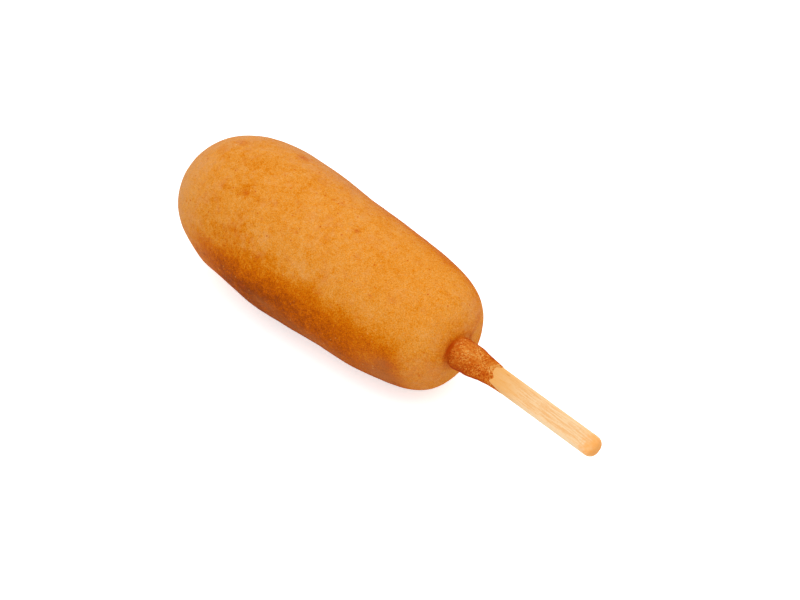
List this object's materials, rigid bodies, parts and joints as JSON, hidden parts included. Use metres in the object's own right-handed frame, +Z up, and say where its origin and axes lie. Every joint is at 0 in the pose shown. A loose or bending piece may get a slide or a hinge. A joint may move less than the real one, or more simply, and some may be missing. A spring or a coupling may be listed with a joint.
{
  "type": "corn dog",
  "caption": "Fried corn dog lying on its side: a rounded batter body with a short batter collar that runs out on to a flat wooden stick.",
  "frame": {"origin": "middle of the small flat spot of the batter that it lies on", "axes": "+X along the corn dog towards the free end of the stick, +Z up from the surface it lies on, +Y to the left when looking along +X"},
  "size_m": [0.1411, 0.0401, 0.0394],
  "materials": {
    "batter": "fried corn batter, golden tan, satin with a fine grain, browner at the collar and low on the sides",
    "stick": "plain birch, fine lengthwise grain, uncoated"
  },
  "bodies": {
    "root": {"batter": "batter", "stick": "stick"}
  },
  "joints": []
}
